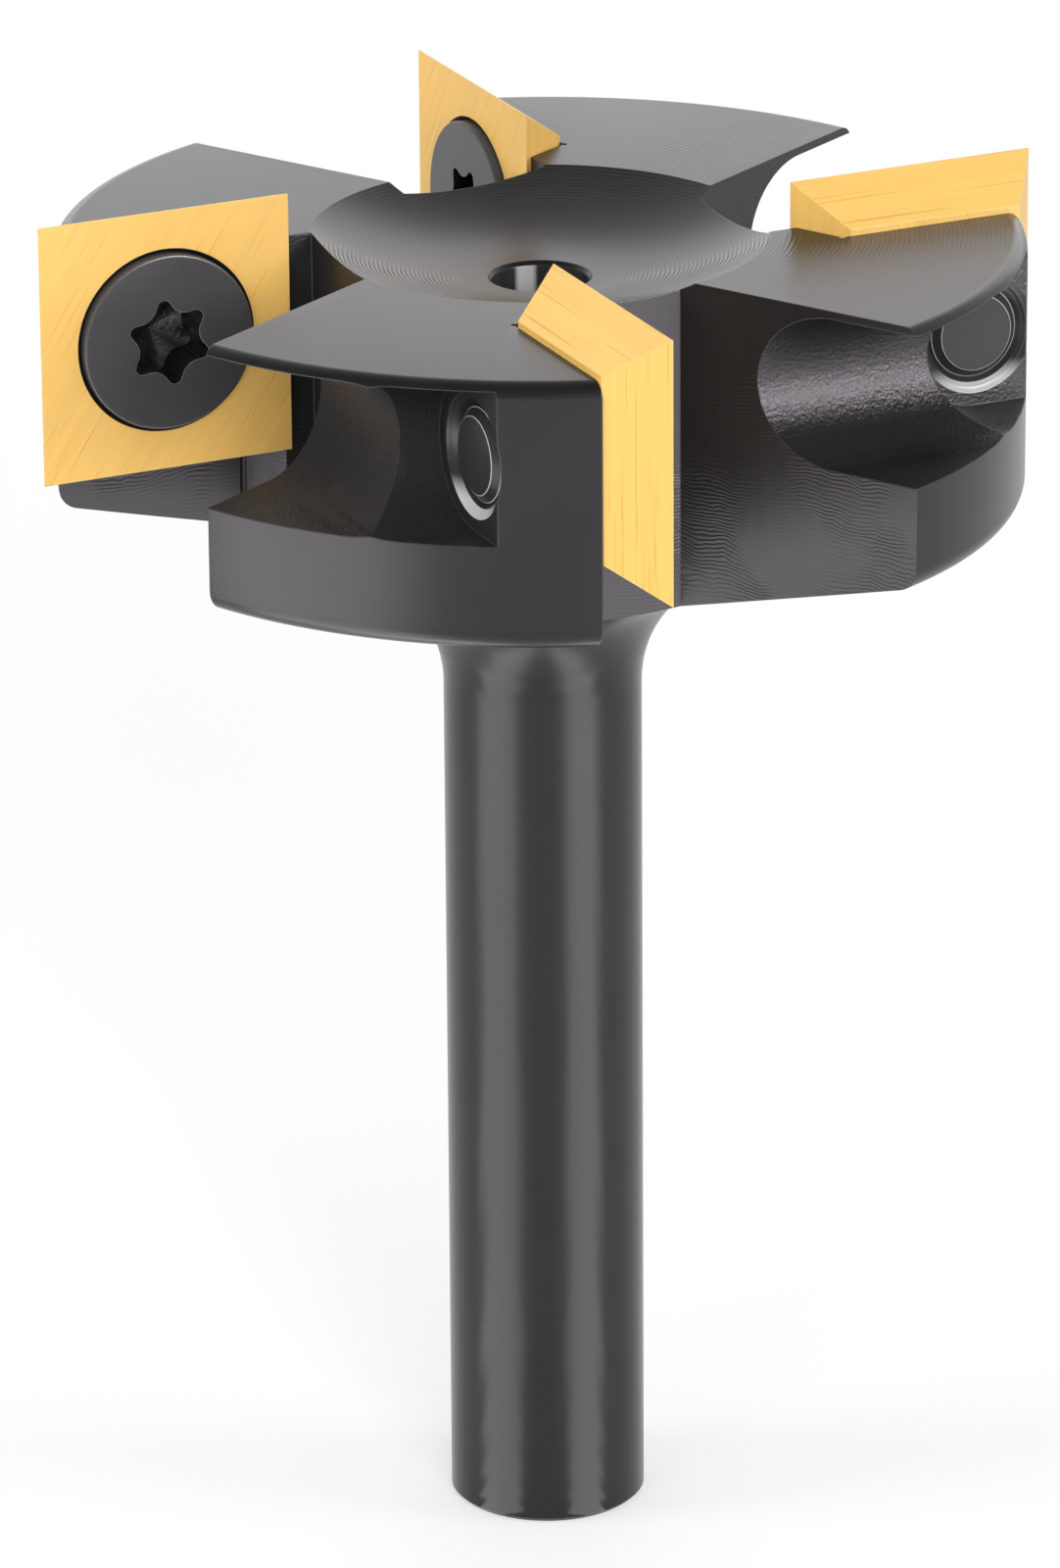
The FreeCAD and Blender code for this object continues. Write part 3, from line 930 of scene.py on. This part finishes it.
# %% World
world = bpy.data.worlds.new("white studio")
bpy.context.scene.world = world
world.use_nodes = True
tree = world.node_tree
background = tree.nodes["Background"]
background.inputs["Color"].default_value = (1.0, 1.0, 1.0, 1.0)
sky = tree.nodes.new("ShaderNodeTexCoord")
sky_height = tree.nodes.new("ShaderNodeSeparateXYZ")
tree.links.new(sky.outputs["Generated"], sky_height.inputs[0])
back_of_room = add(tree, "ShaderNodeVectorMath", operation="DOT_PRODUCT", i1=INTO_ROOM)
tree.links.new(sky.outputs["Generated"], back_of_room.inputs[0])
near_dark = map_range(tree, sky_height.outputs["Z"], 0.12, 0.4, 0.45, 0.14, smooth=True)
near_side = map_range(tree, back_of_room.outputs["Value"], -0.1, 0.5, near_dark, 1.0, smooth=True)
ceiling = map_range(tree, sky_height.outputs["Z"], 0.48, 0.86, 1.0, 0.5, smooth=True)
shown = math_node(tree, "MULTIPLY", near_side, ceiling)
lighting = map_range(tree, sky_height.outputs["Z"], 0.2, 0.9, 0.25, 0.75, smooth=True)
path = tree.nodes.new("ShaderNodeLightPath")
mirrored = math_node(tree, "MAXIMUM", path.outputs["Is Glossy Ray"],
                     path.outputs["Is Transmission Ray"])
strength = map_range(tree, mirrored, 0.0, 1.0, lighting, shown)
strength = map_range(tree, path.outputs["Is Camera Ray"], 0.0, 1.0, strength, 1.0)
tree.links.new(strength, background.inputs["Strength"])
print("world:", world.name)

# %% [markdown]
# The lamps. Each long stripe on the shank is the reflection of a row of flat panels on the
# table. The soft boxes stand round the bit: some show only in reflections, and some give only
# diffuse light, so that each face can get the tone that it has in the photograph.

# %% Lamps
CAMERA_HEADING = 24.6826
PANEL_HEIGHT = 0.0003
PANEL_EDGES = (0.0, 0.002, 0.005, 0.01, 0.02, 0.045, 0.095, 0.175, 0.355)
FAR_PANEL_GAIN = 1.45
HEAD_CENTRE = Vector((0.0, 0.0, 0.075))


def direction(toward, elevation):
    """A direction from the bit. toward is degrees round from the camera, to its right."""
    heading = math.radians(-CAMERA_HEADING - 90.0 + toward)
    up = math.radians(elevation)
    level = math.cos(up)
    return Vector((math.cos(heading) * level, math.sin(heading) * level, math.sin(up)))


def lamp_object(name, size, power):
    lamp = bpy.data.lights.new(name, "AREA")
    lamp.shape = "RECTANGLE"
    lamp.size, lamp.size_y = size
    lamp.energy = power
    obj = bpy.data.objects.new(name, lamp)
    bpy.context.scene.collection.objects.link(obj)
    obj.visible_camera = False
    return obj


def soft_box(name, toward, elevation, distance, size, power):
    """A soft box that faces the bit's head."""
    obj = lamp_object(name, size, power)
    away = direction(toward, elevation)
    obj.location = HEAD_CENTRE + away * distance
    obj.rotation_euler = away.to_track_quat("Z", "Y").to_euler()
    return obj


def table_panel(name, toward, start, near, far, width, power):
    """A flat light panel that lies on the table and shines up, from near to far of start."""
    obj = lamp_object(name, (far - near, width), power)
    away = direction(toward, 0.0)
    obj.location = start + away * (near + far) / 2 + Vector((0, 0, PANEL_HEIGHT))
    obj.rotation_euler = (math.pi, 0.0, math.atan2(away.y, away.x))
    obj.visible_diffuse = False
    return obj


def panel_row(name, toward, spread, brightness):
    """Flat panels in a row that the shank mirrors as one even stripe from its foot up.

    The stripe's middle is where the shank's normal points halfway to the row. From there the
    mirrored rays run out over the table and fan apart by the row's spread.
    """
    shank_r = SHANK_R * MM
    start = direction(toward / 2, 0.0) * shank_r
    stripe_width = 2 * shank_r * math.sin(math.radians(spread) / 4)
    for number, (near, far) in enumerate(zip(PANEL_EDGES, PANEL_EDGES[1:])):
        width = stripe_width + math.radians(spread) * (near + far) / 2
        power = brightness * math.pi * width * (far - near)
        if far == PANEL_EDGES[-1]:
            power *= FAR_PANEL_GAIN
        table_panel("%s %d" % (name, number + 1), toward, start, near, far, width, power)


panel_row("left panel", -56.0, 48.0, 3.1)
panel_row("right panel", 46.0, 39.0, 3.3)
table_panel("front panel", -15.0, Vector(), 0.2, 0.36, 0.26, 0.06)

# name, degrees round from the camera, elevation, distance, size, watts, what doesn't see it
for name, toward, elevation, distance, size, power, unseen_by in (
        ("right strip", 50.0, 12.5, 0.8, (0.3, 0.24), 11.5, "diffuse"),
        ("front fill", 12.0, 23.0, 0.9, (0.4, 0.35), 3.9, "glossy"),
        ("low fill", -30.0, 6.0, 0.8, (0.3, 0.1), 0.95, "glossy"),
        ("right box", 80.0, 22.0, 0.8, (0.3, 0.3), 1.5, "glossy"),
        ("left box", -80.0, 18.0, 0.8, (0.36, 0.3), 2.3, "glossy"),
        ("back box", 180.0, 16.0, 0.8, (1.1, 0.42), 1.5, None),
        ("high back box", 166.0, 33.0, 0.8, (0.3, 0.1), 0.15, None)):
    box = soft_box(name, toward, elevation, distance, size, power)
    if unseen_by:
        setattr(box, "visible_" + unseen_by, False)

# %% [markdown]
# ## Camera
# The camera stands where the photograph was taken from. The place, tilt and lens come from
# fitting the bit's known corners to the picture.

# %% Camera
camera_at = Vector((-0.22926, -0.49679, 0.25747))
heading, tilt, roll = (math.radians(a) for a in (CAMERA_HEADING, 20.8214, -0.4078))
forward = Vector((math.sin(heading) * math.cos(tilt), math.cos(heading) * math.cos(tilt),
                  -math.sin(tilt)))
right = Vector((math.cos(heading), -math.sin(heading), 0.0))
up = right.cross(forward)
rolled_right = math.cos(roll) * right + math.sin(roll) * up
rolled_up = -math.sin(roll) * right + math.cos(roll) * up
lens = bpy.data.cameras.new("photo camera")
lens.sensor_width = 36.0
lens.lens = 209.13
lens.clip_start, lens.clip_end = 0.05, 20.0
camera = bpy.data.objects.new("photo camera", lens)
bpy.context.scene.collection.objects.link(camera)
camera.matrix_world = Matrix.Translation(camera_at) @ Matrix(
    (rolled_right, rolled_up, -forward)).transposed().to_4x4()
bpy.context.scene.camera = camera
bpy.context.scene.view_settings.view_transform = "Standard"
print("camera at", tuple(round(c, 4) for c in camera.location))
